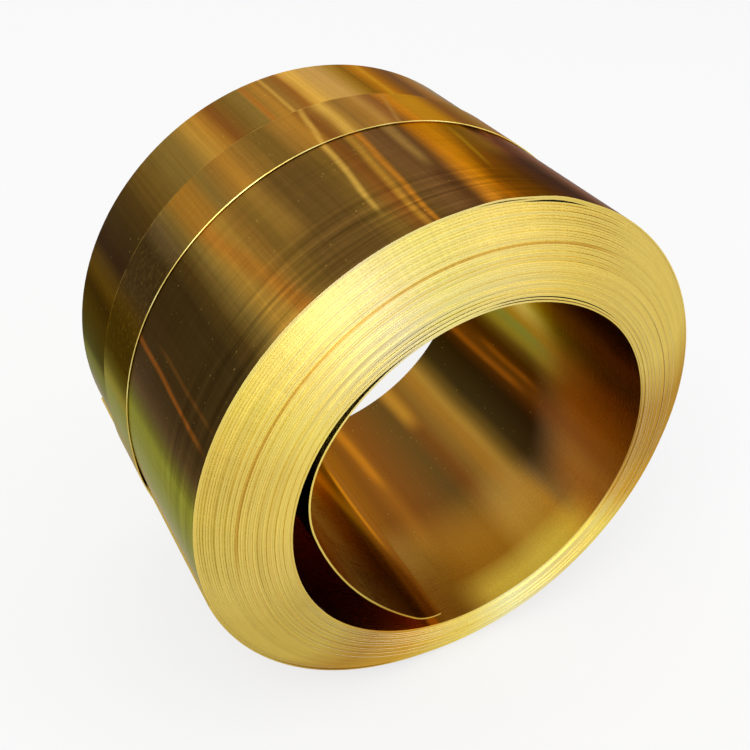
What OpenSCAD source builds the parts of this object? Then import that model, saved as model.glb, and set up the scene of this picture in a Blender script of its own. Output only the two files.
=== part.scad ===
// A coil of brass strip, lying on its rim, held by a thin brass band.
// The axis runs along Y, and the end with the turns pushed forward faces -Y.
// Angles round the coil are counted clockwise from the top, seen from that end.

/* [Strip] */
// Thickness of the strip
strip_t = 1; // [0.6:0.1:1.2]
// Width of the strip, from slit edge to slit edge
strip_w = 180; // [150:5:260]

/* [Winding] */
// Bore that the turns are wound on
bore_d = 200; // [180:5:260]
// Number of turns, the innermost and the outermost one included
turns = 43; // [30:1:60]
// How far the turns at the bore stand forward of the outermost one
bore_lead = 14.6; // [6:0.2:20]
// Extra bulge of the end face, halfway through the wall
wall_bulge = 5.8; // [2:0.2:8]
// How far the slit edge of a single turn strays from its neighbours
edge_stray = 0.35; // [0:0.05:0.6]
// Where the outer end of the strip lies, which puts the heavy side of the coil at the bottom
tail_angle = 256; // [225:1:285]

/* [Sprung innermost turn] */
// Where the innermost turn leaves the next one
peel_angle = 60; // [40:1:80]
// Round stretch that still follows the bore: how much tighter than the bore it is bent
follow_tighter = 2.5; // [1:0.1:5]
// Round stretch that still follows the bore: how far it runs, in degrees
follow_sweep = 119.5; // [100:0.5:130]
// Bend where it springs inwards: radius
spring_bend_r = 64.5; // [55:0.5:80]
// Bend where it springs inwards: how far it turns, in degrees
spring_bend_sweep = 45.5; // [35:0.5:50]
// Flat stretch across the crescent gap: radius
flat_r = 171; // [150:1:200]
// Flat stretch across the crescent gap: how far it turns, in degrees
flat_sweep = 34.8; // [25:0.2:36]
// Curl at the free end: radius
curl_r = 22; // [18:0.5:26]
// Curl at the free end: how far it turns, in degrees
curl_sweep = 44.6; // [20:0.2:46]

/* [Binding band] */
// Thickness of the band
band_t = 0.9; // [0.5:0.1:1]
// Width of the band
band_w = 38; // [20:1:45]
// Distance of the band behind the rim of the end that faces -Y
band_back = 92; // [20:1:105]
// How far the ends of the band overlap, in degrees
band_lap = 14; // [6:1:24]
// Where the band's outer end lies
lap_angle = 150; // [110:1:160]
// Slack between the band and the coil
band_slack = 0.1; // [0.05:0.05:0.2]

/* [Hidden] */
$fn = 180;
bore_r = bore_d / 2;
// The innermost turn and the two outermost ones aren't turned with the wall
wall_turns = turns - 3;
wall_r = bore_r + wall_turns * strip_t;
outer_r = wall_r + 2 * strip_t;
band_r = outer_r + band_slack;
// The axis is high enough for the coil to lie on its band
axis_height = band_r + band_t;
// Cuts run this far past the material
past = 5;
// Bends are drawn with flats of this many degrees
flat_angle = 3;

// Share of the way from the outermost turns (0) to the bore (1)
function inwards(turn) = 1 - turn / wall_turns;
// Single turns stray from the dome by a little, each one differently
function stray(turn) = edge_stray * sin(turn * 137.5) * sin(turn * 51);
// Turns stand forward along a shallow dome, steepest at the rim
function lead(turn) =
    let (s = inwards(turn))
    bore_lead * s + 4 * wall_bulge * s * (1 - s) + stray(turn);
leads = [for (turn = [0 : wall_turns - 1]) lead(turn)];
// The box of the whole coil is centred on the origin along Y
centre_shift = (max(leads) + min(0, min(leads))) / 2;

// Stepped outline through the slit edges of the wound turns, at one end of the coil. The
// first step reaches one turn further in, because the bore is cut from that turn
function edge_steps(base) = [
    for (turn = [0 : wall_turns - 1], side = [0, 1])
        [bore_r + (turn + side == 0 ? -1 : turn + side) * strip_t, base + leads[turn]]
];
function reversed(list) = [for (i = [len(list) - 1 : -1 : 0]) list[i]];

// A point at an angle counted clockwise from the top
function polar(radius, angle) = radius * [sin(angle), cos(angle)];
function left_of(heading) = [-sin(heading), cos(heading)];

// Follows bends, each [radius, sweep], and gives [point, heading] at every flat
function bend_path(run, at, heading, i = 0) =
    i == len(run) ? [] :
    let (
        radius = run[i][0],
        sweep = run[i][1],
        flats = ceil(sweep / flat_angle),
        centre = at + radius * left_of(heading),
        headings = [for (k = [1 : flats]) heading + sweep * k / flats],
        places = [for (h = headings) [centre - radius * left_of(h), h]]
    )
    concat(places, bend_path(run, places[flats - 1][0], heading + sweep, i + 1));

// Lays a solid that is drawn along Z, front end up, on its rim along Y
module laid() {
    translate([0, centre_shift, axis_height]) rotate([90, 0, 0]) children();
}

// The turns that lie tight on one another, between their stepped front and back ends
module wound_wall() {
    rotate_extrude()
        polygon(concat(edge_steps(strip_w / 2), reversed(edge_steps(-strip_w / 2))));
}

// Solid bar with the outline of one turn: it starts one strip thickness below the radius,
// winds outwards as four quarter rounds and ends on the X axis, in a step
module spiral_bar(radius, length) {
    growth = strip_t / 4;
    corners = [[1, -1], [1, 1], [-1, 1], [-1, -1]];
    cylinder(r = radius / 2, h = length, center = true);
    for (quarter = [0 : 3]) {
        corner = corners[quarter];
        beside = corners[(quarter + 1) % 4];
        translate([corner.x * growth / 2, corner.y * growth / 2, 0]) intersection() {
            cylinder(r = radius - (quarter + 0.5) * growth, h = length, center = true);
            translate([beside.x * radius, beside.y * radius, 0])
                cube([2 * radius, 2 * radius, length + past], center = true);
        }
    }
}

// The two outermost turns, which run out round the wall to the outer end of the strip
module outermost_turns() {
    difference() {
        rotate(90 - tail_angle) spiral_bar(outer_r, strip_w);
        cylinder(r = wall_r, h = strip_w + past, center = true);
    }
}

// The turns in one, with the bore that the next to innermost turn forms
module wound_turns() {
    difference() {
        union() {
            wound_wall();
            outermost_turns();
        }
        rotate(90 - peel_angle) spiral_bar(bore_r, 2 * strip_w);
    }
}

// The innermost turn starts at its free end, springs back to the bore and peels onto it,
// where its root is let into the wall
module innermost_turn() {
    path = bend_path(
        [
            [bore_r - strip_t / 2 - follow_tighter, follow_sweep],
            [spring_bend_r, spring_bend_sweep],
            [flat_r, flat_sweep],
            [curl_r, curl_sweep]
        ],
        polar(bore_r - strip_t / 2, peel_angle),
        180 - peel_angle
    );
    root = [polar(bore_r, peel_angle + flat_angle)];
    inner_side = concat(
        root,
        [polar(bore_r - strip_t, peel_angle)],
        [for (p = path) p[0] + strip_t / 2 * left_of(p[1])]
    );
    outer_side = concat(
        [polar(bore_r + strip_t / 2, peel_angle)],
        [for (p = path) p[0] - strip_t / 2 * left_of(p[1])]
    );
    translate([0, 0, leads[0]]) linear_extrude(height = strip_w, center = true)
        polygon(concat(inner_side, reversed(outer_side)));
}

module coil() {
    color("gold") laid() {
        wound_turns();
        innermost_turn();
    }
}

// The band goes once round the coil, and its outer end lies over its inner end
module binding_band() {
    middle = strip_w / 2 - band_back - band_w / 2;
    color("darkgoldenrod") laid() translate([0, 0, middle]) rotate(90 - lap_angle) {
        // Both rounds start under the lap
        rotate(band_lap / 2) difference() {
            cylinder(r = band_r + band_t, h = band_w, center = true);
            cylinder(r = band_r, h = band_w + past, center = true);
        }
        rotate_extrude(angle = band_lap)
            translate([band_r + band_t / 2, -band_w / 2]) square([band_t * 3 / 2, band_w]);
    }
}

coil();
binding_band();
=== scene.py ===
import bpy
import math
import random
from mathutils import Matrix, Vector, kdtree


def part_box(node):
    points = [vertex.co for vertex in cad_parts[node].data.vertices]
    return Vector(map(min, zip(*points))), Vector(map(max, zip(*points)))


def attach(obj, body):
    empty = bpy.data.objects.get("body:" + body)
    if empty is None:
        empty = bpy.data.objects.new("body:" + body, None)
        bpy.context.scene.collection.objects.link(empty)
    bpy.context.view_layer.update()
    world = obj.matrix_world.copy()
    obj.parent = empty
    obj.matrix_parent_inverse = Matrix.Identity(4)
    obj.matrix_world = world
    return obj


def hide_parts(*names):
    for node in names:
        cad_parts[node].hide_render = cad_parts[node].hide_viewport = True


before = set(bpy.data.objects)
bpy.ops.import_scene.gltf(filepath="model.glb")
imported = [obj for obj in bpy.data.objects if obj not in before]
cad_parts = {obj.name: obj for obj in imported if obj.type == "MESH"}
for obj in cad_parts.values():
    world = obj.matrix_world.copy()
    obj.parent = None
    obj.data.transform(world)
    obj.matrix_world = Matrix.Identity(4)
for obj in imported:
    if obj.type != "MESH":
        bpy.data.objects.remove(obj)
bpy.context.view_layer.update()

# Clock angles are in degrees, clockwise from the top, seen from the front end at -Y.
# Depths are measured back from the front rim of the outermost turn.
mm = 0.001
coilLow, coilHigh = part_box("coil")
bandLow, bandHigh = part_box("binding_band")
axisHeight = (bandLow.z + bandHigh.z) / 2
stripThickness = 1 * mm
stripDepth = 180  # the strip's width in mm, as depths are given
stripWidth = stripDepth * mm
frontRim = coilHigh.y - stripWidth  # the outermost turn reaches furthest back
print("frame loaded, the axis is", round(axisHeight, 4), "m high")


# Camera, light and floor

viewValues = {
    "place": (-0.21929, -0.40084, 0.48485),
    "forward": (0.37587, 0.70596, -0.6003),
    "lens": 49.29,
    "sensor": 36,
}

lightValues = {
    "skyStrength": 0.75,
    # name, place, power, size
    "lamps": [
        ("key", (-0.9, -0.9, 1.5), 12, 1.2),
        ("fill", (1.5, -0.9, 0.9), 6, 1.4),
        ("back", (0.2, 1.6, 1.2), 3, 1.8),
    ],
    "floorSize": 8.0,
    "floorWhite": 0.86,
    "floorRoughness": 0.9,
    "floorGlow": 0.7,  # share of plain white that the camera and the metal see
}


def addCamera(values):
    data = bpy.data.cameras.new("camera")
    data.lens = values["lens"]
    data.sensor_width = values["sensor"]
    camera = bpy.data.objects.new("camera", data)
    camera.location = values["place"]
    camera.rotation_euler = Vector(values["forward"]).to_track_quat("-Z", "Y").to_euler()
    bpy.context.scene.collection.objects.link(camera)
    bpy.context.scene.camera = camera


def addLamps(values):
    for name, place, power, size in values["lamps"]:
        data = bpy.data.lights.new(name, "AREA")
        data.shape = "DISK"
        data.size = size
        data.energy = power
        lamp = bpy.data.objects.new(name, data)
        lamp.location = place
        aim = Vector((0, 0, axisHeight)) - Vector(place)
        lamp.rotation_euler = aim.to_track_quat("-Z", "Y").to_euler()
        bpy.context.scene.collection.objects.link(lamp)


# Node helpers: a value is a number, a colour or the output of another node

def feed(tree, socket, value):
    if isinstance(value, bpy.types.NodeSocket):
        tree.links.new(value, socket)
    else:
        socket.default_value = value


def calc(tree, operation, first, second=0.0, third=0.0):
    node = tree.nodes.new("ShaderNodeMath")
    node.operation = operation
    for socket, value in zip(node.inputs, (first, second, third)):
        feed(tree, socket, value)
    return node.outputs[0]


def plus(tree, first, second):
    return calc(tree, "ADD", first, second)


def minus(tree, first, second):
    return calc(tree, "SUBTRACT", first, second)


def times(tree, first, second):
    return calc(tree, "MULTIPLY", first, second)


def ratio(tree, first, second):
    return calc(tree, "DIVIDE", first, second)


def spread(tree, value, low, high, newLow=0.0, newHigh=1.0, smooth=False):
    node = tree.nodes.new("ShaderNodeMapRange")
    node.interpolation_type = "SMOOTHSTEP" if smooth else "LINEAR"
    names = ("Value", "From Min", "From Max", "To Min", "To Max")
    for name, number in zip(names, (value, low, high, newLow, newHigh)):
        feed(tree, node.inputs[name], number)
    return node.outputs["Result"]


# Falls softly from a top value to 0
def fall(tree, value, start, end, top=1.0):
    return spread(tree, value, start, end, top, 0.0, smooth=True)


# 1 from start to end, fading over a soft stretch outside
def window(tree, value, start, end, soft):
    rise = spread(tree, value, start - soft, start, smooth=True)
    return times(tree, rise, fall(tree, value, end, end + soft))


def blendColours(tree, amount, first, second, way="MIX"):
    node = tree.nodes.new("ShaderNodeMix")
    node.data_type = "RGBA"
    node.blend_type = way
    feed(tree, node.inputs[0], amount)
    feed(tree, node.inputs[6], first)
    feed(tree, node.inputs[7], second)
    return node.outputs[2]


def joinVector(tree, x, y, z=0.0):
    node = tree.nodes.new("ShaderNodeCombineXYZ")
    for socket, value in zip(node.inputs, (x, y, z)):
        feed(tree, socket, value)
    return node.outputs[0]


# A noise over two coordinates: stretch of each of them, scale, detail and roughness
def pattern(tree, first, second, values):
    node = tree.nodes.new("ShaderNodeTexNoise")
    vector = joinVector(tree, times(tree, first, values[0]), times(tree, second, values[1]))
    for name, value in zip(("Vector", "Scale", "Detail", "Roughness"), (vector, *values[2:])):
        feed(tree, node.inputs[name], value)
    return node.outputs["Fac"]


# A pattern as a level that swings about a middle
def swing(tree, value, amount, middle=1.0):
    return spread(tree, value, *finishValues["patternRange"], middle - amount, middle + amount)


# Multiplies a colour by a level of light
def shade(tree, colour, light, amount=1.0):
    return blendColours(tree, amount, colour, joinVector(tree, light, light, light), "MULTIPLY")


# Tones of brass in painted highlight, painted reflection and painted shade, and of its scuffs and
# specks: red, green and blue from 0 to 255
tones = {
    "ink": (24, 12, 3),
    "soot": (42, 27, 10),
    "umber": (57, 43, 18),
    "walnut": (90, 65, 27),
    "hazel": (134, 96, 37),
    "toffee": (114, 68, 24),
    "pearl": (250, 248, 220),
    "ivory": (252, 246, 188),
    "peat": (76, 56, 21),
    "bronze": (107, 80, 30),
    "olive": (124, 98, 42),
    "moss": (99, 91, 37),
    "sage": (133, 132, 60),
    "chestnut": (64, 34, 9),
    "rust": (98, 55, 14),
    "sienna": (134, 82, 25),
    "copper": (168, 92, 20),
    "amber": (204, 127, 27),
    "ochre": (158, 110, 37),
    "honey": (166, 124, 47),
    "gold": (193, 139, 44),
    "straw": (212, 168, 72),
    "sand": (186, 144, 68),
    "flax": (205, 179, 90),
    "butter": (222, 196, 104),
    "cream": (246, 233, 150),
    "lemon": (242, 222, 118),
    "khaki": (142, 122, 44),
    "drab": (98, 78, 44),
    "nut": (102, 70, 36),
    "cocoa": (80, 50, 22),
    "russet": (124, 64, 16),
    "dusk": (36, 15, 4),
    "flame": (240, 150, 30),
    "corn": (232, 206, 106),
    "primrose": (240, 220, 138),
    "shell": (240, 226, 172),
    "taupe": (132, 95, 62),
    "fallow": (152, 129, 90),
    # and these for the painted reflections where faces are seen from the side
    "pewter": (203, 193, 188),
    "oyster": (203, 193, 165),
    "dove": (190, 180, 150),
    "stone": (172, 156, 130),
    "slate": (146, 120, 94),
    "lichen": (210, 209, 165),
    "reed": (171, 169, 126),
    "fawn": (212, 182, 138),
    "clay": (188, 163, 130),
    "maize": (196, 166, 60),
}


def tone(name):
    linear = []
    for level in tones[name]:
        share = level / 255
        linear.append(share / 12.92 if share < 0.04 else ((share + 0.055) / 1.055) ** 2.4)
    return (*linear, 1.0)


def toneRamp(tree, value, stops):
    low, high = stops[0][0], stops[-1][0]
    node = tree.nodes.new("ShaderNodeValToRGB")
    feed(tree, node.inputs[0], spread(tree, value, low, high))
    elements = node.color_ramp.elements
    elements[0].color = tone(stops[0][1])
    elements[1].color = tone(stops[-1][1])
    for place, name in stops[1:-1]:
        elements.new((place - low) / (high - low)).color = tone(name)
    return node.outputs[0]


# What the finishes of both pieces share
finishValues = {
    "patternRange": (0.3, 0.7),  # levels of a pattern that count as dark and bright
    "streakFade": 24,  # mm over which a painted reflection streak ends
    "runOn": (-91.9, -92.1),  # where the clock angle starts to run on past 180
    "farFade": 3,  # degrees over which the far tones take over
    "waver": (0.08, 0.02, 1.0, 1.0, 0.5),
    "waverRange": (0.25, 0.75),
    "sideTint": "flax",  # keeps faces seen from the side from going white
    # rolling marks
    "arcPerDegree": 2.478,  # mm round the outside
    "cloud": (0.03, 0.02, 1.0, 2.0, 0.5),
    "cloudDepth": 0.07,
    "speckStretch": 1.6,
    "speckSize": (0.06, 0.2),
    "speckTone": "flax",
    "speckStrength": 0.6,
    "patches": (0.05, 0.05, 1.0, 2.0, 0.5),  # where the specks gather
    "patchRange": (0.45, 0.6),
    "roughRange": (0.6, 1.4),  # sum of two patterns from smoothest to roughest
    "relief": (0.25, 0.05 * mm),  # strength, distance
    "speckRelief": 0.4,
}


# Clock angle, radius and depth of the shaded point, and whether it faces outwards
def coilPlace(tree):
    place = tree.nodes.new("ShaderNodeTexCoord")
    split = tree.nodes.new("ShaderNodeSeparateXYZ")
    tree.links.new(place.outputs["Object"], split.inputs[0])
    x, y = split.outputs[0], split.outputs[1]
    up = minus(tree, split.outputs[2], axisHeight)
    clock = calc(tree, "DEGREES", calc(tree, "ARCTAN2", x, up))
    span = calc(tree, "SQRT", plus(tree, times(tree, x, x), times(tree, up, up)))
    turned = tree.nodes.new("ShaderNodeSeparateXYZ")
    tree.links.new(place.outputs["Normal"], turned.inputs[0])
    across = times(tree, x, turned.outputs[0])
    facing = calc(tree, "MULTIPLY_ADD", up, turned.outputs[2], across)
    return {
        "x": x,
        "up": up,
        "clock": clock,
        "radius": ratio(tree, span, mm),
        "depth": ratio(tree, minus(tree, y, frontRim), mm),
        "outwards": calc(tree, "GREATER_THAN", facing, 0.0),
    }


# The clock angle, wavering a little on its way back along the coil
def wander(tree, clock, depth, amount):
    waver = pattern(tree, clock, depth, finishValues["waver"])
    return plus(tree, clock, spread(tree, waver, *finishValues["waverRange"], -amount, amount))


# Each painted reflection streak runs back along the coil: clock at the front and at the back,
# half width there and there, tone, strength, first and last depth
def addReflectionStreaks(tree, colour, clock, depth, reflectionStreaks):
    for front, back, frontHalf, backHalf, name, strength, start, end in reflectionStreaks:
        middle = spread(tree, depth, 0, stripDepth, front, back)
        half = spread(tree, depth, 0, stripDepth, frontHalf, backHalf)
        off = calc(tree, "ABSOLUTE", minus(tree, clock, middle))
        mask = fall(tree, ratio(tree, off, half), 0.0, 1.0, strength)
        mask = times(tree, mask, window(tree, depth, start, end, finishValues["streakFade"]))
        colour = blendColours(tree, mask, colour, tone(name))
    return colour


# A painted curved reflection round a patch of painted dark reflection, with its ranges in shares of its
# half sizes
def addArc(tree, colour, clock, depth, arc):
    across = ratio(tree, minus(tree, clock, arc["clock"]), arc["halfClock"])
    along = ratio(tree, minus(tree, depth, arc["depth"]), arc["halfDepth"])
    off = calc(tree, "SQRT", calc(tree, "MULTIPLY_ADD", across, across, times(tree, along, along)))
    dark = fall(tree, off, *arc["patch"], arc["strength"])
    ring = fall(tree, calc(tree, "ABSOLUTE", minus(tree, off, 1.0)), *arc["ring"], arc["strength"])
    ring = times(tree, ring, fall(tree, along, *arc["ringEnd"]))
    colour = blendColours(tree, dark, colour, tone(arc["inside"]))
    return blendColours(tree, ring, colour, tone(arc["rim"]))


# Painted reflections for the part of the outside where the clock angle runs on from 180 to 270
def addFar(tree, colour, clock, farReflectionTones):
    onwards = plus(tree, clock, spread(tree, clock, *finishValues["runOn"], 0.0, 360.0))
    far = window(tree, onwards, farReflectionTones[0][0], farReflectionTones[-1][0], finishValues["farFade"])
    return blendColours(tree, far, colour, toneRamp(tree, onwards, farReflectionTones))


def newMaterial(name, roughness, anisotropy):
    material = bpy.data.materials.new(name)
    material.use_nodes = True
    tree = material.node_tree
    shader = tree.nodes["Principled BSDF"]
    shader.inputs["Metallic"].default_value = 1.0
    shader.inputs["Roughness"].default_value = roughness
    shader.inputs["Anisotropic"].default_value = anisotropy
    shader.inputs["Specular Tint"].default_value = tone(finishValues["sideTint"])
    return material, tree, shader


# Turns the rolling marks round the coil's axis
def layRound(tree, shader, place):
    direction = joinVector(tree, place["up"], 0.0, times(tree, place["x"], -1.0))
    tree.links.new(direction, shader.inputs["Tangent"])


def addRelief(tree, shader, height, strength, distance):
    bump = tree.nodes.new("ShaderNodeBump")
    bump.inputs["Strength"].default_value = strength
    bump.inputs["Distance"].default_value = distance
    feed(tree, bump.inputs["Height"], height)
    tree.links.new(bump.outputs["Normal"], shader.inputs["Normal"])


# Rolling lines round the coil, finer streaks of painted reflection along it, bright specks, and their
# relief
def addGrain(tree, shader, colour, place, grain, amount=1.0):
    arc, depth = times(tree, place["clock"], finishValues["arcPerDegree"]), place["depth"]
    lines = pattern(tree, arc, depth, grain["lines"])
    # the streaks along the coil are painted reflection; the rolling lines and cloud are the metal's own
    # marks
    along = pattern(tree, arc, depth, grain["along"])
    cloud = pattern(tree, arc, depth, finishValues["cloud"])
    light = times(tree, swing(tree, lines, grain["lineDepth"]), swing(tree, along, grain["alongDepth"]))
    light = times(tree, light, swing(tree, cloud, finishValues["cloudDepth"]))
    colour = shade(tree, colour, light, amount)
    speck = tree.nodes.new("ShaderNodeTexVoronoi")
    vector = joinVector(tree, arc, times(tree, depth, finishValues["speckStretch"]))
    feed(tree, speck.inputs["Vector"], vector)
    feed(tree, speck.inputs["Scale"], grain["speckScale"])
    picked = calc(tree, "GREATER_THAN", speck.outputs["Color"], 1 - grain["specks"])
    near = fall(tree, speck.outputs["Distance"], *finishValues["speckSize"])
    patch = pattern(tree, arc, depth, finishValues["patches"])
    specks = times(tree, picked, near)
    specks = times(tree, specks, spread(tree, patch, *finishValues["patchRange"]))
    mask = times(tree, specks, finishValues["speckStrength"])
    colour = blendColours(tree, mask, colour, tone(finishValues["speckTone"]))
    feed(tree, shader.inputs["Base Color"], colour)
    rough = spread(tree, plus(tree, lines, cloud), *finishValues["roughRange"], *grain["rough"])
    feed(tree, shader.inputs["Roughness"], rough)
    height = plus(tree, lines, times(tree, specks, finishValues["speckRelief"]))
    addRelief(tree, shader, times(tree, height, amount), *finishValues["relief"])
    layRound(tree, shader, place)


# The coil: one long strip, wound in a spiral

coilValues = {
    "thickness": 0.978 * mm,  # the rest of each turn's pitch is the gap to the next
    "boreRadius": 99 * mm,
    "outerRadius": 142 * mm,
    "wholeTurns": 42,  # from the peel outwards
    "peelClock": 60,
    "tailClock": 256,
    "pointsPerTurn": 144,
    "domedTurns": 40,
    "boreLead": 14.6 * mm,
    "wallBulge": 5.8 * mm,
    "edgeStray": 0.35 * mm,
    "strayAngles": (137.5, 51),  # degrees per turn of the two waves that the strays follow
    "edgeRound": 0.06 * mm,
    "roundFrom": 60,  # degrees at an edge from which on it is rounded
    "smoothTo": 30,  # and up to which it is shaded smooth
    # bends of the sprung innermost turn, from the peel to its free end: radius, sweep
    "springBends": [(97 * mm, 119.5), (64.5 * mm, 45.5), (171 * mm, 34.8), (22 * mm, 44.6)],
    "bendStep": 2.5,  # degrees between the points of a bend
    # turns that sit low, or proud, for part of their way: radius, from clock, to clock, depth
    "shiftedTurns": [
        (125.4 * mm, -95, 48, 0.85 * mm),
        (131.6 * mm, -60, 10, 0.3 * mm),
        (117.2 * mm, -150, -60, 0.5 * mm),
        (110.3 * mm, -120, -20, 0.35 * mm),
        (136.4 * mm, -30, 70, 0.3 * mm),
        (121.0 * mm, 45, 100, 0.6 * mm),
        (113.4 * mm, 100, 170, 0.35 * mm),
    ],
    "shiftFade": 12,  # degrees that each of them is longer at its ends
    "shiftOffset": 0.3,  # share of a turn that the spiral is ahead of the given radius
    "strayRuns": 110,  # shorter stretches like these, placed at random
    "strayHalves": (15, 75),  # shortest and longest half length
    "strayDepth": 0.32 * mm,
    "straySeed": 12,
    # outer turns that stand off the next one at the front rim: middle clock, half length, gap
    "liftedTurns": [(5, 9, 0.75 * mm), (17, 9, 0.8 * mm)],
    # inner turns that stand off the next one there: middle in degrees from the peel, half, gap
    "looseTurns": [
        (-35, 27, 0.55 * mm), (325, 27, 0.45 * mm),
        (280, 32, 1.5 * mm), (640, 32, 1.25 * mm), (1000, 32, 1.05 * mm), (1360, 32, 0.85 * mm),
        (1720, 32, 0.65 * mm), (2080, 32, 0.45 * mm), (2440, 32, 0.3 * mm),
        (2800, 32, 0.15 * mm),
    ],
    "liftDepth": 26 * mm,
}


# 1 at 0, falling smoothly to 0 at -1 and 1
def bell(value):
    return (1 - value * value) ** 2 if abs(value) < 1 else 0.0


# Points of the sprung turn, from the peel to the free end, and the degrees gone
def springRoute(values):
    start = math.radians(values["peelClock"])
    radius = values["boreRadius"] + stripThickness / 2
    at = Vector((radius * math.sin(start), radius * math.cos(start)))
    heading = math.pi - start
    route, gone = [], 0.0
    for bend, sweep in values["springBends"]:
        flats = math.ceil(sweep / values["bendStep"])
        centre = at + bend * Vector((-math.sin(heading), math.cos(heading)))
        for flat in range(1, flats + 1):
            turned = heading + math.radians(sweep) * flat / flats
            place = centre - bend * Vector((-math.sin(turned), math.cos(turned)))
            route.append((place.x, place.y, -(gone + sweep * flat / flats)))
        heading += math.radians(sweep)
        gone += sweep
        at = Vector(route[-1][:2])
    return route


# Points from the free end to the tail: across, up, and degrees gone past the peel
def stripRoute(values):
    route = springRoute(values)[::-1]
    wholeRun = (values["wholeTurns"] * 360) + values["tailClock"] - values["peelClock"]
    innerMiddle = values["boreRadius"] + stripThickness / 2
    outerMiddle = values["outerRadius"] - stripThickness / 2
    count = round(wholeRun / 360 * values["pointsPerTurn"])
    for step in range(count + 1):
        run = wholeRun * step / count
        radius = innerMiddle + (outerMiddle - innerMiddle) * run / wholeRun
        clock = math.radians(values["peelClock"] + run)
        route.append((radius * math.sin(clock), radius * math.cos(clock), run))
    return route, wholeRun


# Stretches of the strip whose edge lies further back: middle run, half length, depth
def strayList(values, wholeRun):
    inner, outer = values["boreRadius"], values["outerRadius"] - stripThickness
    stretches = []
    for radius, start, end, depth in values["shiftedTurns"]:
        turnsOut = (radius - inner) / (outer - inner) * wholeRun / 360
        turn = round(turnsOut - values["shiftOffset"])
        middle = turn * 360 + (start + end) / 2 - values["peelClock"]
        stretches.append((middle, (end - start) / 2 + values["shiftFade"], depth))
    draw = random.Random(values["straySeed"])
    for _ in range(values["strayRuns"]):
        middle = draw.uniform(0, wholeRun)
        half = draw.uniform(*values["strayHalves"])
        stretches.append((middle, half, draw.uniform(-1, 1) * values["strayDepth"]))
    return stretches


# How far a place on the strip lies in front of the outermost turn
def edgeShift(values, run, stretches):
    turn = min(max(run / 360, 0), values["domedTurns"])
    inwards = 1 - turn / values["domedTurns"]
    lead = values["boreLead"] * inwards + 4 * values["wallBulge"] * inwards * (1 - inwards)
    first, second = [math.sin(math.radians(turn * angle)) for angle in values["strayAngles"]]
    lead += values["edgeStray"] * (first * second)
    for middle, half, depth in stretches:
        if abs(run - middle) < half:
            lead -= depth * bell((run - middle) / half)
    return lead


# How far the front of the strip stands off its round course there
def standOff(values, run, wholeRun):
    off = 0
    for turnsIn, (clock, half, gap) in enumerate(values["liftedTurns"]):
        first = wholeRun - (values["tailClock"] - clock) - 360 * turnsIn
        if run >= first - half:
            off += gap * bell(((run - first + 180) % 360 - 180) / half)
    for middle, half, gap in values["looseTurns"]:
        off -= gap * bell((run - middle) / half)
    return off


def onlyObject(piece):
    bpy.ops.object.select_all(action="DESELECT")
    piece.select_set(True)
    bpy.context.view_layer.objects.active = piece


def applyModifier(piece, kind, **settings):
    onlyObject(piece)
    modifier = piece.modifiers.new(kind.lower(), kind)
    for name, value in settings.items():
        setattr(modifier, name, value)
    bpy.ops.object.modifier_apply(modifier=modifier.name)


# A flat ribbon of this width along a route in the plane of the end face
def windStrip(name, route, width, middle):
    curve = bpy.data.curves.new(name, "CURVE")
    curve.dimensions = "2D"
    curve.fill_mode = "NONE"
    curve.extrude = width / 2
    spline = curve.splines.new("POLY")
    spline.points.add(len(route) - 1)
    for point, (across, up, _) in zip(spline.points, route):
        point.co = (across, up, 0, 1)
    ribbon = bpy.data.objects.new(name, curve)
    bpy.context.scene.collection.objects.link(ribbon)
    ribbon.rotation_euler = (math.radians(90), 0, 0)
    ribbon.location = (0, middle, axisHeight)
    onlyObject(ribbon)
    bpy.ops.object.convert(target="MESH")
    bpy.ops.object.transform_apply(location=True, rotation=True, scale=True)
    return bpy.context.view_layer.objects.active


# Adds a row of points round the strip at a depth
def cutRow(piece, depth):
    onlyObject(piece)
    bpy.ops.object.mode_set(mode="EDIT")
    bpy.ops.mesh.select_all(action="SELECT")
    bpy.ops.mesh.bisect(plane_co=(0, frontRim + depth, 0), plane_no=(0, 1, 0))
    bpy.ops.object.mode_set(mode="OBJECT")


# Gives a ribbon its thickness, rounded edges and materials
def thicken(piece, values, rolled, slit):
    piece.data.materials.append(rolled)
    piece.data.materials.append(slit)
    applyModifier(piece, "SOLIDIFY", thickness=values["thickness"], offset=0, use_rim=True,
                  material_offset_rim=1)
    applyModifier(piece, "BEVEL", width=values["edgeRound"], segments=1, limit_method="ANGLE",
                  angle_limit=math.radians(values["roundFrom"]))
    onlyObject(piece)
    bpy.ops.object.shade_smooth_by_angle(angle=math.radians(values["smoothTo"]))


def routeFinder(route):
    finder = kdtree.KDTree(len(route))
    for index, (across, up, _) in enumerate(route):
        finder.insert((across, 0, up + axisHeight), index)
    finder.balance()
    return finder


def addCoil(values, rolled, slit):
    route, wholeRun = stripRoute(values)
    coil = windStrip("coil_of_strip", route, stripWidth, frontRim + stripWidth / 2)
    cutRow(coil, values["liftDepth"])
    stretches = strayList(values, wholeRun)
    finder = routeFinder(route)
    turns = coil.data.attributes.new("turn", "FLOAT", "POINT")
    behind = coil.data.attributes.new("behindEdge", "FLOAT", "POINT")
    for vertex in coil.data.vertices:
        place = vertex.co
        index = finder.find((place.x, 0, place.z))[1]
        run = route[index][2]
        turns.data[vertex.index].value = run / 360
        behind.data[vertex.index].value = (place.y - frontRim) / mm
        if place.y < frontRim + mm:  # the front row
            outwards = Vector((place.x, 0, place.z - axisHeight)).normalized()
            vertex.co = vertex.co + outwards * standOff(values, run, wholeRun)
        vertex.co.y -= edgeShift(values, run, stretches)
    thicken(coil, values, rolled, slit)
    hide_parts("coil")
    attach(coil, "root")
    print("coil wound,", len(coil.data.polygons), "faces")


# The finish of the slit edges

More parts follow.
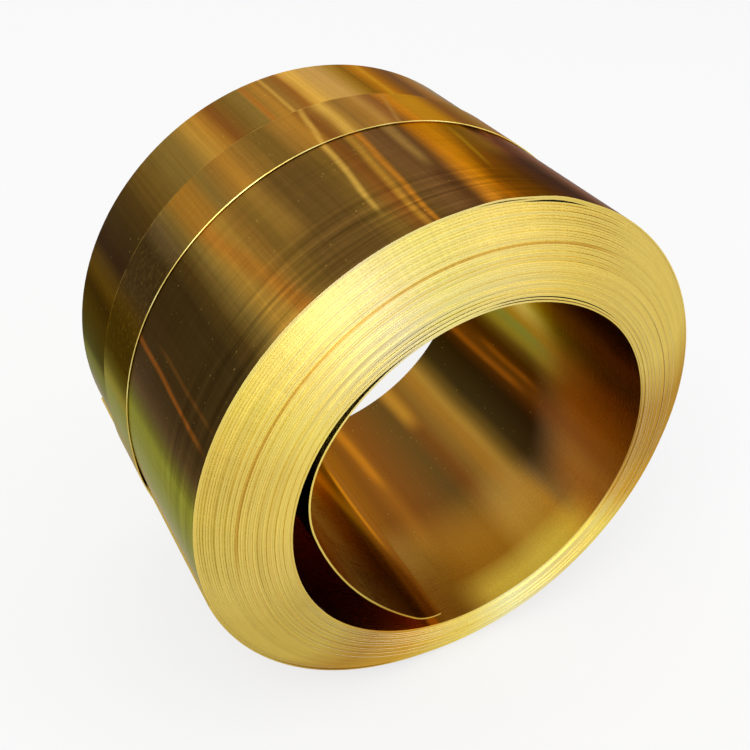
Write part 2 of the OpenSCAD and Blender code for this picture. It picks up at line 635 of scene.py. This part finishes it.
slitValues = {
    # painted highlights and shade round the end face, by clock angle
    "edgeHighlightTones": [
        (-180, "lemon"), (-172, "corn"), (-160, "straw"), (-145, "sand"), (-130, "flax"),
        (-112, "flax"), (-98, "butter"), (-80, "corn"), (-66, "corn"), (-54, "lemon"),
        (-42, "primrose"), (-24, "shell"), (-12, "cream"), (4, "primrose"), (22, "corn"),
        (40, "butter"), (70, "butter"), (88, "sand"), (104, "sand"), (118, "straw"),
        (130, "lemon"), (146, "primrose"), (165, "ivory"), (180, "lemon"),
    ],
    "roughness": 0.42,
    "anisotropy": 0.6,
    "turnTones": (1.0, 1.0, 3.1, 2.0, 0.5),  # pattern over the turns
    "turnDepth": 0.1,
    "turnRough": (0.36, 0.5),
    "coarse": (0.35, 0.02, 1.0, 2.0, 0.5),
    "fine": (40.0, 1.0, 2.0, 2.0, 0.5),
    "mottle": 0.05,  # depth of the last two
    "relief": (0.4, 0.06 * mm),
    # turns that are warmer, and a stretch with an orange line of painted reflection in the groove of a
    # sunken turn
    "warmTone": "gold",
    "warm": (1.0, 1.0, 2.3, 1.0, 0.5),
    "warmPlace": 5.0,  # second coordinate of that pattern
    "warmRange": (0.6, 0.8),
    "warmStrength": 0.35,
    "warmLine": (25.6, 25.9),  # in turns from the peel
    "warmLineFade": 0.04,
    "warmLineStrength": 0.7,
}


# The finish of the rolled faces

rolledValues = {
    # painted reflections round the outside in front of the band, by clock angle
    "frontReflectionTones": [
        (-92, "sage"), (-80, "sage"), (-77, "moss"), (-73, "peat"), (-69, "umber"),
        (-60, "umber"), (-51, "umber"), (-47, "peat"), (-43, "olive"), (-40, "honey"), (-37, "honey"),
        (-34, "hazel"), (-31, "bronze"), (-27, "walnut"), (-18, "walnut"), (-14, "bronze"),
        (-10, "toffee"), (-7, "walnut"), (-3, "nut"), (1, "cocoa"), (4, "cocoa"),
        (7, "copper"), (10, "russet"), (14, "russet"), (18, "rust"), (23, "chestnut"),
        (26, "chestnut"), (30, "sienna"), (50, "chestnut"),
    ],
    # and behind it
    "backReflectionTones": [
        (-92, "sage"), (-88, "sage"), (-84, "umber"), (-75, "umber"), (-70, "soot"),
        (-66, "walnut"), (-63, "peat"), (-60, "soot"), (-54, "umber"), (-48, "peat"), (-43, "bronze"),
        (-37, "olive"), (-33, "olive"), (-29, "honey"), (-26, "ochre"), (-23, "toffee"),
        (-19, "bronze"), (-15, "olive"), (-12, "ochre"), (-9, "hazel"), (-6.5, "sienna"),
        (-4, "gold"), (-1, "sand"), (3, "sand"), (6, "honey"), (9, "sienna"), (13, "amber"),
        (17, "sienna"), (21, "rust"), (26, "copper"), (36, "rust"), (50, "umber"),
    ],
    # and round the part that the two leave out
    "farReflectionTones": [
        (50, "chestnut"), (62, "umber"), (70, "peat"), (78, "olive"), (86, "bronze"),
        (94, "soot"), (106, "umber"), (114, "sienna"), (120, "amber"), (124, "rust"),
        (138, "peat"), (150, "bronze"), (158, "gold"), (164, "sienna"), (176, "umber"),
        (190, "soot"), (202, "bronze"), (212, "honey"), (222, "sage"), (232, "moss"),
        (243, "umber"), (252, "bronze"), (260, "honey"), (268, "sage"),
    ],
    # painted reflection streaks in front of the band
    "frontReflectionStreaks": [
        (-95, -108, 24, 24, "sage", 0.95, -20, 200),
        (-67.4, -62.5, 1.0, 1.1, "copper", 0.5, 22, 90),
        (-62.5, -61, 0.8, 0.8, "sienna", 0.3, 20, 56),
        (-34.8, -45, 2.8, 3.4, "copper", 0.45, -20, 92),
        (-28, -28, 4.5, 4.5, "honey", 0.35, 50, 92),
        (-15.2, -8.4, 0.8, 1.6, "straw", 0.55, 40, 93),
        (-9.9, -3.2, 1.1, 2.2, "gold", 0.5, -10, 93),
        (-8.2, -1.2, 0.8, 2.2, "amber", 0.5, -10, 93),
        (-0.5, 4.5, 1.6, 3.0, "sand", 0.4, 60, 93),
        (3.4, 17.6, 3.0, 12.0, "amber", 0.95, 4, 120),
        (18, 18, 12, 12, "chestnut", 0.65, -20, 26),
        (20, 20, 9, 9, "ochre", 0.95, 66, 120),
        (10.0, 20.0, 0.9, 1.2, "straw", 0.35, 52, 72),
    ],
    # and behind it
    "backReflectionStreaks": [
        (-14.4, -14.4, 1.2, 1.2, "copper", 0.5, 131, 200),
        (-10.0, -10.0, 0.8, 0.8, "straw", 0.35, 131, 200),
        (-3.6, -3.6, 3.2, 3.4, "straw", 0.6, 131, 200),
        (12.6, 13.4, 1.6, 1.6, "straw", 0.5, 131, 200),
    ],
    # a painted curved reflection round a painted dark patch
    "arc": {
        "clock": 21.5, "halfClock": 3.6, "depth": 92, "halfDepth": 18, "inside": "dusk",
        "rim": "ochre", "strength": 0.85, "patch": (0.35, 0.8), "ring": (0.05, 0.32),
        "ringEnd": (-0.2, 0.35),
    },
    # soft lines beside the front rim: pattern, depths over which they fade, and strengths there
    "rimLines": {"lines": (0.02, 0.24, 1.0, 4.0, 0.6), "depths": (22, 48), "strengths": (0.45, 0.06)},
    # tints of the painted reflection that the faces take on where they are seen from the side, in front
    # and behind
    "frontSides": [
        (-130, "flax"), (-100, "lichen"), (-80, "lichen"), (-74, "pewter"), (3, "pewter"),
        (9, "oyster"), (14, "dove"), (19, "stone"), (23, "slate"), (27, "ochre"), (31, "ochre"),
        (44, "rust"), (70, "flax"),
    ],
    "backSides": [
        (-130, "flax"), (-100, "reed"), (-84, "reed"), (-75, "dove"), (-60, "pewter"),
        (3, "pewter"), (9, "oyster"), (16, "fawn"), (21, "clay"), (26, "maize"), (31, "maize"),
        (40, "rust"), (70, "flax"),
    ],
    "sideDepths": (110, 124),  # where the one gives way to the other
    "underBand": (100, 124),  # where the front tones give way to the back ones
    # painted reflections and shade round the bore, near its front and far back; the upper wall out of
    # view is painted pale, so that the walls reflecting it stay bright
    "mouthReflectionTones": [
        (0, "cream"), (30, "cream"), (44, "sand"), (54, "cocoa"), (74, "honey"),
        (84, "khaki"), (92, "honey"), (102, "hazel"), (112, "taupe"), (119, "fallow"),
        (125, "fallow"), (131, "fallow"), (135, "sand"), (148, "sand"),
        (156, "ochre"), (166, "ochre"), (173, "ochre"), (180, "honey"), (187, "sand"),
        (191, "honey"), (196, "sienna"), (210, "sienna"), (226, "gold"), (238, "cream"),
        (360, "cream"),
    ],
    "deepReflectionTones": [
        (0, "cream"), (30, "cream"), (48, "honey"), (72, "sienna"), (84, "butter"),
        (91, "honey"), (94, "sage"), (98, "khaki"), (102, "walnut"), (106, "chestnut"),
        (112, "rust"), (117, "chestnut"), (120, "soot"), (130, "umber"), (134, "bronze"),
        (138, "honey"), (141, "ochre"), (146, "hazel"), (151, "toffee"), (157, "walnut"),
        (172, "toffee"), (176, "sienna"), (182, "toffee"), (187, "sienna"), (190, "sienna"),
        (194, "sienna"), (204, "honey"), (214, "sienna"), (238, "cream"), (360, "cream"),
    ],
    # a painted highlight at the front rim of the bore
    "mouthHighlight": {
        "tone": "lemon", "clocks": (136, 168), "fade": 16, "depths": (-8, 8), "strength": 0.7,
    },
    # depth at which the deep painted reflections begin: a slanting line by clock angle, or a step
    "mouthBorder": {
        "slant": (-1.27, 177.0), "stepClocks": (129, 140), "stepDepths": (16.0, 35.0),
        "soft": (-16, 34),
    },
    # painted reflection streaks in the bore
    "boreReflectionStreaks": [
        (109.5, 109.5, 1.8, 1.8, "copper", 0.35, 80, 110),
        (113, 114.5, 1.8, 2.2, "copper", 0.45, 90, 200),
        (142.5, 141, 2.4, 2.0, "ochre", 0.6, 60, 200),
        (150, 152.5, 3.5, 5.0, "gold", 0.6, 140, 200),
        (174, 178, 2.2, 3.4, "amber", 0.4, 110, 200),
    ],
    # painted reflections on the sprung turn's inner side, by its degrees from the peel
    "sprungReflectionTones": [
        (-245, "sienna"), (-222, "sienna"), (-205, "hazel"), (-196, "gold"), (-188, "lemon"),
        (-176, "flame"), (-160, "flame"), (-146, "lemon"), (-132, "butter"), (-120, "cream"),
    ],
    "sprungDeepReflections": [
        (-245, "rust"), (-224, "rust"), (-208, "copper"), (-196, "flame"), (-188, "lemon"),
        (-176, "flame"), (-160, "flame"), (-146, "lemon"), (-132, "butter"), (-120, "cream"),
    ],
    "sprungDepths": (70, 105),  # where the one gives way to the other
    # painted highlight line beside its free end, in degrees from the peel and mm back
    "endHighlight": {
        "at": -232, "bend": 8, "bendDepths": (10, 150), "half": 4, "halfBright": 0.5,
        "tone": "amber", "beyond": "sienna", "depths": (60, 98), "fade": 30, "strength": 0.7,
    },
    # painted light and shade, with a painted reddish glow, on the two sides of the crescent gap: on the
    # turn, and on the wall
    "crescentBackShading": [
        (-245, "lemon"), (-215, "butter"), (-205, "gold"), (-190, "copper"), (-170, "rust"),
        (-150, "dusk"), (-135, "dusk"), (-118, "cream"), (-60, "cream"),
    ],
    "crescentWallShading": [
        (184, "flame"), (206, "flame"), (216, "amber"), (230, "rust"), (250, "dusk"),
        (285, "dusk"), (298, "lemon"), (312, "cream"), (330, "cream"),
    ],
    "shadedTurns": (0.366, 0.98),  # the wall beside the gap, in turns from the peel
    "shadedFade": 0.006,
    # degrees from the peel where turns stand apart and only a slit of painted shade shows
    "looseTurn": (305, 345),
    # where the turn's back loses its shine behind its slit edge
    "plainBackTone": "honey",
    # where, behind its slit edge, the turn's back leaves the painted crescent light and shade for one
    # plain tone
    "plainBackBehind": (7, 22),
    "plainBackRun": (-120, 400),
    "slitFade": 8,
    "slitShadeTone": "ink",
    "sprungTo": -120,  # degrees from the peel up to which the turn has sprung loose
    "outsideFrom": 120,  # radius in mm
    # strip of each turn's face beside the next one, painted pale as a reflection: mm behind the edge,
    # and turns
    "lip": (1.6, 2.8),
    "coveredTurns": (0.5, 41.5),
    "coveredFade": 0.01,
    "lipTone": "pearl",
    "lipStrength": 0.6,
    "roughness": 0.28,
    "anisotropy": 0.3,
    "waver": 0.35,  # degrees that the reflections waver
    "boreGrain": 0.3,  # share of the grain that the bore has
    "grain": {
        "lines": (0.012, 1.0, 1.1, 4.0, 0.7), "lineDepth": 0.09,
        "along": (1.0, 0.015, 0.5, 3.0, 0.6), "alongDepth": 0.12,
        "speckScale": 0.35, "specks": 0.25, "rough": (0.22, 0.34),
    },
}


def addRimLines(tree, colour, clock, depth, values):
    lines = pattern(tree, clock, depth, values["lines"])
    strength = spread(tree, depth, *values["depths"], *values["strengths"], smooth=True)
    light = calc(tree, "MULTIPLY_ADD", swing(tree, lines, 1.0, 0.0), strength, 1.0)
    return shade(tree, colour, light)


# The outside's painted reflections, with a painted curved reflection and soft rim lines in front of the
# band
def outsideColour(tree, values, clock, depth):
    front = toneRamp(tree, clock, values["frontReflectionTones"])
    front = addReflectionStreaks(tree, front, clock, depth, values["frontReflectionStreaks"])
    front = addArc(tree, front, clock, depth, values["arc"])
    front = addRimLines(tree, front, clock, depth, values["rimLines"])
    back = toneRamp(tree, clock, values["backReflectionTones"])
    back = addReflectionStreaks(tree, back, clock, depth, values["backReflectionStreaks"])
    colour = blendColours(tree, spread(tree, depth, *values["underBand"]), front, back)
    return addFar(tree, colour, clock, values["farReflectionTones"])


# The bore's painted reflections and shade, near its front and far back, with a painted highlight at its
# front rim
def insideColour(tree, values, clock, depth):
    onwards = calc(tree, "FLOORED_MODULO", clock, 360.0)
    mouth = toneRamp(tree, onwards, values["mouthReflectionTones"])
    # a painted highlight at the front rim
    glow = values["mouthHighlight"]
    mask = times(tree, window(tree, onwards, *glow["clocks"], glow["fade"]),
                 spread(tree, depth, *glow["depths"], glow["strength"], 0.0))
    mouth = blendColours(tree, mask, mouth, tone(glow["tone"]))
    deep = toneRamp(tree, onwards, values["deepReflectionTones"])
    deep = addReflectionStreaks(tree, deep, onwards, depth, values["boreReflectionStreaks"])
    border = values["mouthBorder"]
    slant = calc(tree, "MULTIPLY_ADD", onwards, *border["slant"])
    step = spread(tree, onwards, *border["stepClocks"], *border["stepDepths"])
    beyond = minus(tree, depth, calc(tree, "MAXIMUM", step, slant))
    return blendColours(tree, spread(tree, beyond, *border["soft"], smooth=True), mouth, deep)


# The sprung turn's inner side in painted reflections, with a painted highlight line that bends along
# beside its free end
def sprungColour(tree, values, gone, depth):
    line = values["endHighlight"]
    along = spread(tree, depth, *line["bendDepths"], -1.0, 1.0)
    bend = times(tree, times(tree, along, along), -line["bend"])
    off = minus(tree, gone, plus(tree, bend, line["at"]))
    beyond = fall(tree, off, -line["half"], line["half"])
    face = blendColours(tree, spread(tree, depth, *values["sprungDepths"], smooth=True),
                        toneRamp(tree, gone, values["sprungReflectionTones"]),
                        toneRamp(tree, gone, values["sprungDeepReflections"]))
    colour = blendColours(tree, beyond, face, tone(line["beyond"]))
    mask = times(tree, window(tree, off, -line["halfBright"], line["halfBright"], line["half"]),
                 window(tree, depth, *line["depths"], line["fade"]))
    mask = times(tree, mask, line["strength"])
    return blendColours(tree, mask, colour, tone(line["tone"]))


def pointValue(tree, name):
    node = tree.nodes.new("ShaderNodeAttribute")
    node.attribute_name = name
    return node.outputs["Fac"]


# Both sides of the crescent gap lie in shade
def addCrescent(tree, values, colour, clock, place, loose):
    turn, gone = place["turn"], place["gone"]
    apart = calc(tree, "MAXIMUM", loose, calc(tree, "LESS_THAN", turn, 0.0))
    back = times(tree, place["outwards"], apart)
    colour = blendColours(tree, back, colour, toneRamp(tree, gone, values["crescentBackShading"]))
    # deeper behind its slit edge the back leaves the painted light and shade for one plain tone
    plainBack = times(tree, back, spread(tree, place["behind"], *values["plainBackBehind"], smooth=True))
    plainBack = times(tree, plainBack, window(tree, gone, *values["plainBackRun"], values["slitFade"]))
    colour = blendColours(tree, plainBack, colour, tone(values["plainBackTone"]))
    # the slit where turns stand apart is painted dark as shade
    colour = blendColours(tree, loose, colour, tone(values["slitShadeTone"]))
    # the wall beside the gap takes painted shade and a painted reddish glow
    shaded = window(tree, turn, *values["shadedTurns"], values["shadedFade"])
    wallColour = toneRamp(tree, calc(tree, "FLOORED_MODULO", clock, 360.0), values["crescentWallShading"])
    return blendColours(tree, times(tree, place["inwards"], shaded), colour, wallColour)


# Each turn shows a narrow strip of its face beside the next one, painted as pale as the slit edge's
# painted highlights, a painted reflection
def addLips(tree, values, colour, place, loose):
    covered = window(tree, place["turn"], *values["coveredTurns"], values["coveredFade"])
    covered = times(tree, covered, minus(tree, 1.0, loose))
    lip = times(tree, spread(tree, place["behind"], *values["lip"], 1.0, 0.0), covered)
    pale = toneRamp(tree, place["clock"], slitValues["edgeHighlightTones"])
    pale = blendColours(tree, values["lipStrength"], pale, tone(values["lipTone"]))
    return blendColours(tree, lip, colour, pale)


def rolledBrass(values):
    material, tree, shader = newMaterial("rolled_brass", values["roughness"], values["anisotropy"])
    place = coilPlace(tree)
    depth = place["depth"]
    clock = wander(tree, place["clock"], depth, values["waver"])
    far = calc(tree, "GREATER_THAN", place["radius"], values["outsideFrom"])
    outer = times(tree, place["outwards"], far)
    colour = blendColours(tree, outer, insideColour(tree, values, clock, depth),
                          outsideColour(tree, values, clock, depth))
    # where on the strip the point lies
    place["inwards"] = minus(tree, 1.0, place["outwards"])
    place["turn"], place["behind"] = pointValue(tree, "turn"), pointValue(tree, "behindEdge")
    place["gone"] = times(tree, place["turn"], 360.0)
    # the sprung turn's inner side takes painted reflections and a painted highlight line
    sprung = calc(tree, "LESS_THAN", place["gone"], values["sprungTo"])
    colour = blendColours(tree, times(tree, place["inwards"], sprung), colour,
                          sprungColour(tree, values, place["gone"], depth))
    loose = window(tree, place["gone"], *values["looseTurn"], values["slitFade"])
    colour = addCrescent(tree, values, colour, clock, place, loose)
    colour = addLips(tree, values, colour, place, loose)
    # tints of the painted reflection where faces are seen from the side
    sides = blendColours(tree, spread(tree, depth, *values["sideDepths"]),
                         toneRamp(tree, place["clock"], values["frontSides"]),
                         toneRamp(tree, place["clock"], values["backSides"]))
    tint = blendColours(tree, outer, tone(finishValues["sideTint"]), sides)
    feed(tree, shader.inputs["Specular Tint"], tint)
    amount = spread(tree, outer, 0.0, 1.0, values["boreGrain"], 1.0)
    addGrain(tree, shader, colour, place, values["grain"], amount)
    return material


def slitEdge(values):
    material, tree, shader = newMaterial("slit_edge", values["roughness"], values["anisotropy"])
    place = coilPlace(tree)
    turn = pointValue(tree, "turn")
    turnTones = pattern(tree, turn, 0.0, values["turnTones"])
    coarse = pattern(tree, place["radius"], place["clock"], values["coarse"])
    fine = pattern(tree, turn, place["radius"], values["fine"])
    light = swing(tree, turnTones, values["turnDepth"])
    light = plus(tree, light, swing(tree, coarse, values["mottle"], 0.0))
    light = plus(tree, light, swing(tree, fine, values["mottle"], 0.0))
    # painted highlights and shade round the end face by clock angle, varied turn by turn
    colour = shade(tree, toneRamp(tree, place["clock"], values["edgeHighlightTones"]), light)
    warm = pattern(tree, turn, values["warmPlace"], values["warm"])
    warm = spread(tree, warm, *values["warmRange"], 0.0, values["warmStrength"])
    # an orange line of painted reflection in a sunken turn's groove
    line = window(tree, turn, *values["warmLine"], values["warmLineFade"])
    warm = calc(tree, "MAXIMUM", warm, times(tree, line, values["warmLineStrength"]))
    colour = blendColours(tree, warm, colour, tone(values["warmTone"]))
    feed(tree, shader.inputs["Base Color"], colour)
    rough = spread(tree, turnTones, *finishValues["patternRange"], *values["turnRough"])
    feed(tree, shader.inputs["Roughness"], rough)
    addRelief(tree, shader, fine, *values["relief"])
    layRound(tree, shader, place)
    return material


# The binding band

bandValues = {
    "thickness": 0.9 * mm,
    "slack": -0.1 * mm,  # at the top its bevel sinks in, at the bottom it hangs clear
    "slackBelow": 0.3 * mm,
    "shift": 1.6 * mm,  # further back, and wider, than the solid
    "wider": 1.6 * mm,
    "slant": 2.3 * mm,  # how far the band runs askew, and towards which clock angle
    "slantClock": -125,
    "tailRun": 12,  # degrees in which the band comes down the step at the strip's end
    "lapStart": 136,
    "lapEnd": 150,
    "climbStart": 352,  # degrees from its inner end at which it climbs onto itself, and how far
    "climbRun": 12,
    "climb": 1.06,  # in thicknesses
    "pointsPerTurn": 180,
    "edgeRound": 0.3 * mm,
    "roundFrom": 60,
    "smoothTo": 30,
    "roughness": 0.3,
    "anisotropy": 0.3,
    "waver": 0.5,
    # dull scuffs
    "scuffTone": "olive",
    "scuffs": (0.6, 0.4, 1.0, 6.0, 0.8),
    "scuffRange": (0.5, 0.72),
    "scuffStrength": 0.5,
    "scuffClocks": (-100, -46),
    "scuffFade": 8,
    # glints on the back edge: mm from it, and along it
    "glintTone": "sand",
    "glintWidth": (0.4, 1.0),
    "glintStrength": 0.8,
    "glints": (0.15, 1.0, 1.0, 3.0, 0.5),
    "glintPlace": 3.0,  # second coordinate of that pattern
    "glintRange": (0.42, 0.6),
    "edgeRoughness": 0.35,
    "edgePattern": (0.11, 1.0, 1.0, 3.0, 0.5),
    "edgeHighlightTones": [(0.25, "straw"), (0.5, "butter"), (0.7, "cream")],
    # tints of the painted reflection that it takes on where it is seen from the side
    "sides": [
        (-130, "flax"), (-100, "lichen"), (-82, "lichen"), (-75, "dove"), (-60, "pewter"),
        (5, "pewter"), (16, "fawn"), (21, "clay"), (26, "maize"), (30, "maize"),
        (36, "copper"), (44, "rust"), (70, "flax"),
    ],
    # painted reflections round the band, by clock angle
    "tones": [
        (-92, "sage"), (-86, "sage"), (-83, "khaki"), (-79, "peat"), (-75, "umber"),
        (-68, "umber"), (-64, "peat"), (-59, "umber"), (-51, "umber"), (-47, "drab"), (-44, "olive"),
        (-41, "ochre"), (-37, "ochre"), (-34, "olive"), (-31, "hazel"), (-28, "ochre"),
        (-25, "hazel"), (-21, "bronze"), (-18, "bronze"), (-16, "hazel"), (-12, "ochre"),
        (-9, "toffee"), (-5, "honey"), (-2, "hazel"), (2, "ochre"), (6, "sienna"),
        (9, "amber"), (12, "gold"), (16, "gold"), (21, "sienna"), (34, "ochre"), (50, "peat"),
    ],
    # painted reflection streaks on the band
    "reflectionStreaks": [
        (-17.8, -5.8, 1.0, 1.0, "straw", 0.5, 88, 140),
        (-7, -4.5, 2.0, 2.0, "straw", 0.6, 88, 140),
        (-5, 14.5, 0.9, 0.9, "sand", 0.4, 100, 130),
        (1, 3.5, 2.2, 2.2, "sand", 0.35, 100, 130),
    ],
    "grain": {
        "lines": (0.012, 1.0, 1.0, 4.0, 0.7), "lineDepth": 0.1,
        "along": (1.0, 0.015, 0.5, 3.0, 0.6), "alongDepth": 0.12,
        "speckScale": 0.5, "specks": 0.35, "rough": (0.24, 0.38),
    },
}


# Rises smoothly from 0 to 1
def smoothStep(value):
    value = min(max(value, 0), 1)
    return value * value * (3 - 2 * value)


# Radius of the outside of the coil: one turn's pitch less just past the strip's end
def outsideRadius(values, clock, smoothRun):
    pitch = values["outerRadius"] - values["boreRadius"] - stripThickness
    pitch /= values["wholeTurns"] + (values["tailClock"] - values["peelClock"]) / 360
    past = (clock - values["tailClock"]) % 360
    return values["outerRadius"] - pitch * (1 - past / 360) * (1 - smoothStep(1 - past / smoothRun))


# Points of the band's middle: across, up, and degrees from its inner end
def bandRoute(values):
    wholeRun = 360 + values["lapEnd"] - values["lapStart"]
    count = round(wholeRun / 360 * values["pointsPerTurn"])
    route = []
    for step in range(count + 1):
        run = wholeRun * step / count
        climb = values["climb"] * smoothStep((run - values["climbStart"]) / values["climbRun"])
        clock = math.radians(values["lapStart"] + run)
        radius = outsideRadius(coilValues, values["lapStart"] + run, values["tailRun"])
        radius += values["slack"] + values["slackBelow"] * max(-math.cos(clock), 0)
        radius += values["thickness"] * (0.5 + climb)
        route.append((radius * math.sin(clock), radius * math.cos(clock), run))
    return route


def addBand(values, rolled, slit):
    width = bandHigh.y - bandLow.y + values["wider"]
    middle = (bandLow.y + bandHigh.y) / 2 + values["shift"]
    band = windStrip("band", bandRoute(values), width, middle)
    fromBack = band.data.attributes.new("fromBack", "FLOAT", "POINT")
    for vertex in band.data.vertices:
        fromBack.data[vertex.index].value = (middle + width / 2 - vertex.co.y) / mm
        clock = math.degrees(math.atan2(vertex.co.x, vertex.co.z - axisHeight))
        vertex.co.y += values["slant"] * math.cos(math.radians(clock - values["slantClock"]))
    thicken(band, values, rolled, slit)
    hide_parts("binding_band")
    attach(band, "root")
    print("band laid round,", len(band.data.polygons), "faces")


def bandBrass(values, farReflectionTones):
    material, tree, shader = newMaterial("band_brass", values["roughness"], values["anisotropy"])
    place = coilPlace(tree)
    clock = wander(tree, place["clock"], place["depth"], values["waver"])
    # painted reflections and streaks round the band
    colour = toneRamp(tree, clock, values["tones"])
    colour = addReflectionStreaks(tree, colour, clock, place["depth"], values["reflectionStreaks"])
    colour = addFar(tree, colour, clock, farReflectionTones)
    # tints of the painted reflection where it is seen from the side
    feed(tree, shader.inputs["Specular Tint"], toneRamp(tree, place["clock"], values["sides"]))
    scuffs = pattern(tree, place["clock"], place["depth"], values["scuffs"])
    scuffs = spread(tree, scuffs, *values["scuffRange"], 0.0, values["scuffStrength"])
    scuffed = window(tree, place["clock"], *values["scuffClocks"], values["scuffFade"])
    colour = blendColours(tree, times(tree, scuffs, scuffed), colour, tone(values["scuffTone"]))
    broken = pattern(tree, place["clock"], values["glintPlace"], values["glints"])
    glint = pointValue(tree, "fromBack")
    glint = spread(tree, glint, *values["glintWidth"], values["glintStrength"], 0.0)
    glint = times(tree, glint, spread(tree, broken, *values["glintRange"]))
    colour = blendColours(tree, glint, colour, tone(values["glintTone"]))
    addGrain(tree, shader, colour, place, values["grain"])
    return material


def bandEdge(values):
    material, tree, shader = newMaterial("band_edge", values["edgeRoughness"], values["anisotropy"])
    place = coilPlace(tree)
    glint = pattern(tree, place["clock"], place["depth"], values["edgePattern"])
    # painted highlights along the band's rims
    feed(tree, shader.inputs["Base Color"], toneRamp(tree, glint, values["edgeHighlightTones"]))
    return material


# 1 for the rays of these kinds
def raysOf(tree, *kinds):
    rays = tree.nodes.new("ShaderNodeLightPath")
    seen = rays.outputs[kinds[0]]
    for kind in kinds[1:]:
        seen = calc(tree, "MAXIMUM", seen, rays.outputs[kind])
    return seen


def addSky(values):
    world = bpy.data.worlds.new("sky")
    world.use_nodes = True
    tree = world.node_tree
    seen = raysOf(tree, "Is Camera Ray", "Is Glossy Ray", "Is Transmission Ray")
    sky = tree.nodes["Background"]
    sky.inputs["Color"].default_value = (1, 1, 1, 1)
    feed(tree, sky.inputs["Strength"], spread(tree, seen, 0, 1, values["skyStrength"], 1.0))
    bpy.context.scene.world = world


def addFloor(values):
    bpy.ops.mesh.primitive_plane_add(size=values["floorSize"], location=(0, 0, 0))
    floor = bpy.context.view_layer.objects.active
    floor.name = "floor"
    material = bpy.data.materials.new("floor")
    material.use_nodes = True
    tree = material.node_tree
    shader = tree.nodes["Principled BSDF"]
    white = values["floorWhite"]
    shader.inputs["Base Color"].default_value = (white, white, white, 1)
    shader.inputs["Roughness"].default_value = values["floorRoughness"]
    shader.inputs["Specular IOR Level"].default_value = 0.0
    glow = tree.nodes.new("ShaderNodeEmission")
    mix = tree.nodes.new("ShaderNodeMixShader")
    seen = raysOf(tree, "Is Camera Ray", "Is Glossy Ray")
    feed(tree, mix.inputs[0], times(tree, seen, values["floorGlow"]))
    tree.links.new(shader.outputs[0], mix.inputs[1])
    tree.links.new(glow.outputs[0], mix.inputs[2])
    tree.links.new(mix.outputs[0], tree.nodes["Material Output"].inputs["Surface"])
    floor.data.materials.append(material)


addCamera(viewValues)
addLamps(lightValues)
addSky(lightValues)
addFloor(lightValues)
bpy.context.scene.view_settings.view_transform = "Standard"
print("stage set")

addCoil(coilValues, rolledBrass(rolledValues), slitEdge(slitValues))
addBand(bandValues, bandBrass(bandValues, rolledValues["farReflectionTones"]), bandEdge(bandValues))
